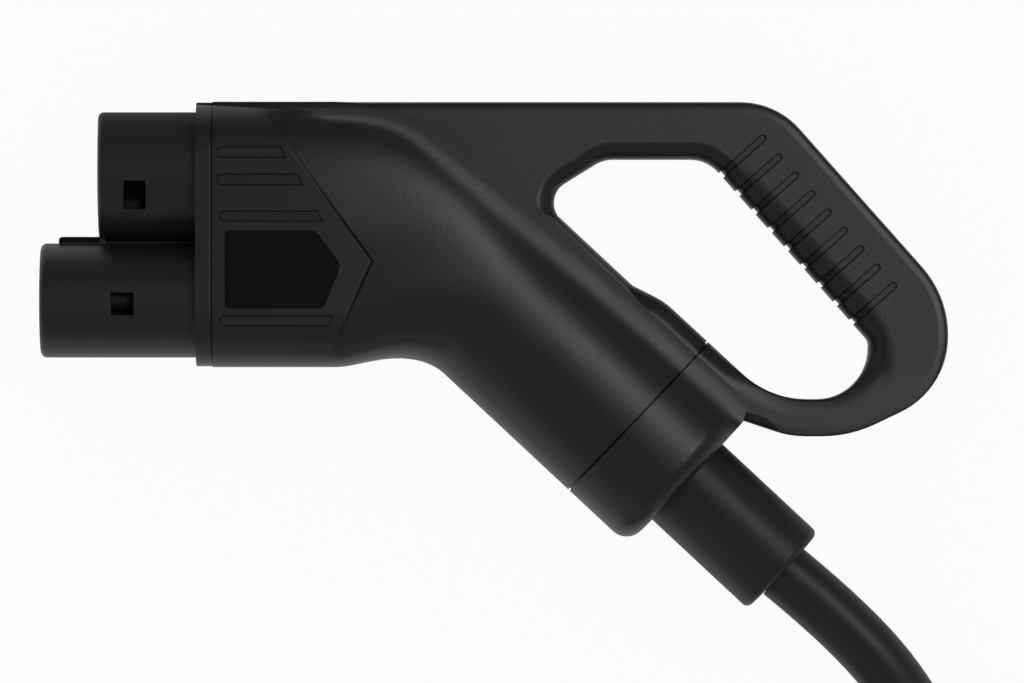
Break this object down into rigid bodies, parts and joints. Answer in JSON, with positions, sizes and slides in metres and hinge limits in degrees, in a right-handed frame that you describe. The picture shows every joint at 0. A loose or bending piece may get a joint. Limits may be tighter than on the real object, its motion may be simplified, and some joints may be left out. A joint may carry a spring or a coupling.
{
  "type": "ev charging cable",
  "caption": "Combined power and signal charging connector with a loop handle, strain-relief sleeve and coiled heavy cable that ends in lugs.",
  "frame": {"origin": "centre of the round signal face on the front collar's front plane and on the shells' parting plane", "axes": "+X from the mating face to the rear, +Y up towards the loop handle's top as the connector is held, +Z from the right shell to the left one; the connector lies on its right side"},
  "size_m": [0.4334, 0.7155, 0.076],
  "materials": {
    "housing": "satin fine-grained moulded",
    "nose": "satin moulded",
    "insulator": "matt moulded",
    "label": "gloss",
    "seal": "matt",
    "contact": "silver plated",
    "board": "lacquered",
    "core_red": "extruded",
    "core_black": "extruded",
    "core_green": "extruded",
    "core_white": "extruded",
    "clamp": "moulded",
    "sleeve": "satin moulded",
    "cable": "satin extruded",
    "steel": "zinc plated",
    "lug": "tin plated copper",
    "boot": "satin shrunk"
  },
  "bodies": {
    "root": {"left_shell": "housing", "right_shell": "housing", "label_plate": "label", "front_collar": "housing", "nose_shell": "nose", "face_gasket": "seal", "signal_carrier": "insulator", "power_carrier": "insulator", "contact_retainer": "insulator", "dc_plus_contact": "contact", "dc_minus_contact": "contact", "earth_contact": "contact", "pilot_contact": "contact", "proximity_contact": "contact", "sensor_board": "board", "dc_plus_lead": "core_red", "dc_minus_lead": "core_black", "earth_lead": "core_green", "pilot_lead": "core_white", "proximity_lead": "core_white", "cable_clamp_upper": "clamp", "cable_clamp_lower": "clamp", "cable_sleeve": "sleeve", "sleeve_ring": "clamp", "cable_seal": "seal", "inner_cable": "cable", "housing_screws": "steel", "retainer_screws": "steel", "clamp_screws": "steel", "cable_lead": "cable", "cable_coil": "cable", "cable_tail": "cable", "breakout_boot": "boot", "dc_plus_tail": "core_red", "dc_minus_tail": "core_black", "earth_tail": "core_green", "signal_tails": "core_white", "dc_plus_lug": "lug", "dc_minus_lug": "lug", "earth_lug": "lug"}
  },
  "joints": []
}
